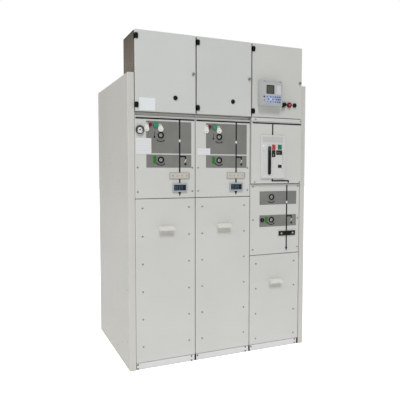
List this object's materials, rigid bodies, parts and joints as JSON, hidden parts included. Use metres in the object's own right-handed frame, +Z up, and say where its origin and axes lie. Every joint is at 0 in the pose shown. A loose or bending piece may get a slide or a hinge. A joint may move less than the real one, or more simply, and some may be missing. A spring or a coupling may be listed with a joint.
{
  "type": "gas-insulated switchgear",
  "caption": "Row of gas-insulated switch bays with a breaker bay, control boxes with hinged doors on top, covers with a switching diagram and hooded grips.",
  "frame": {"origin": "middle of the footprint on the floor, at the centre of the anchor holes", "axes": "+X to the right along the front, +Y to the rear, +Z up"},
  "size_m": [1.346, 0.972, 2.192],
  "materials": {
    "cabinet_paint": "light grey powder coat, fine texture",
    "zinc_sheet": "galvanised sheet, dull",
    "tank_steel": "mill finish",
    "black_plastic": "moulded, fine grain",
    "fitting_metal": "zinc-plated",
    "relay_plastic": "moulded",
    "white_plastic": "smooth",
    "light_plastic": "moulded",
    "field_grey": "printed film",
    "green_plastic": "smooth",
    "red_plastic": "smooth",
    "gauge_metal": "satin"
  },
  "bodies": {
    "switchgear": {"base_frame": "zinc_sheet", "bay_housing_1": "tank_steel", "bay_housing_2": "tank_steel", "bay_housing_3": "tank_steel", "breaker_cover": "cabinet_paint", "breaker_plate": "light_plastic", "button_flaps": "white_plastic", "cable_cover_1": "cabinet_paint", "cable_cover_2": "cabinet_paint", "cable_cover_3": "cabinet_paint", "charging_lever": "black_plastic", "control_box_1": "zinc_sheet", "control_box_2": "zinc_sheet", "control_box_3": "zinc_sheet", "cover_grips": "white_plastic", "cover_strips": "cabinet_paint", "diagram_fields": "field_grey", "diagram_lines": "black_plastic", "drive_shafts": "tank_steel", "front_controls": "red_plastic", "front_instruments": "gauge_metal", "hinge_brackets": "black_plastic", "left_end_panel": "cabinet_paint", "lever_seats": "black_plastic", "lower_cover": "cabinet_paint", "mechanism_cover_1": "cabinet_paint", "mechanism_cover_2": "cabinet_paint", "position_indicators": "green_plastic", "rear_panels": "cabinet_paint", "right_end_panel": "cabinet_paint", "roof_covers": "cabinet_paint", "voltage_sockets": "light_plastic"},
    "left_door": {"control_door_1": "cabinet_paint", "hinge_leaves_1": "black_plastic", "door_fittings_1": "fitting_metal"},
    "middle_door": {"control_door_2": "cabinet_paint", "hinge_leaves_2": "black_plastic", "door_fittings_2": "fitting_metal"},
    "right_door": {"control_door_3": "cabinet_paint", "hinge_leaves_3": "black_plastic", "door_fittings_3": "fitting_metal", "relay": "relay_plastic", "selector_ring": "black_plastic"},
    "selector": {"selector_knob": "black_plastic"}
  },
  "joints": [
    {"name": "left_door_hinge", "type": "hinge", "parent": "switchgear", "child": "left_door", "pos_m": [-0.62, -0.4755, 1.935], "axis": [0, 0, -1], "range_deg": [0, 110]},
    {"name": "middle_door_hinge", "type": "hinge", "parent": "switchgear", "child": "middle_door", "pos_m": [-0.2, -0.4755, 1.935], "axis": [0, 0, -1], "range_deg": [0, 110]},
    {"name": "right_door_hinge", "type": "hinge", "parent": "switchgear", "child": "right_door", "pos_m": [0.22, -0.4755, 1.935], "axis": [0, 0, -1], "range_deg": [0, 110]},
    {"name": "selector_turn", "type": "hinge", "parent": "right_door", "child": "selector", "pos_m": [0.468, -0.473, 1.779], "axis": [0, 1, 0], "range_deg": [0, 90]}
  ]
}
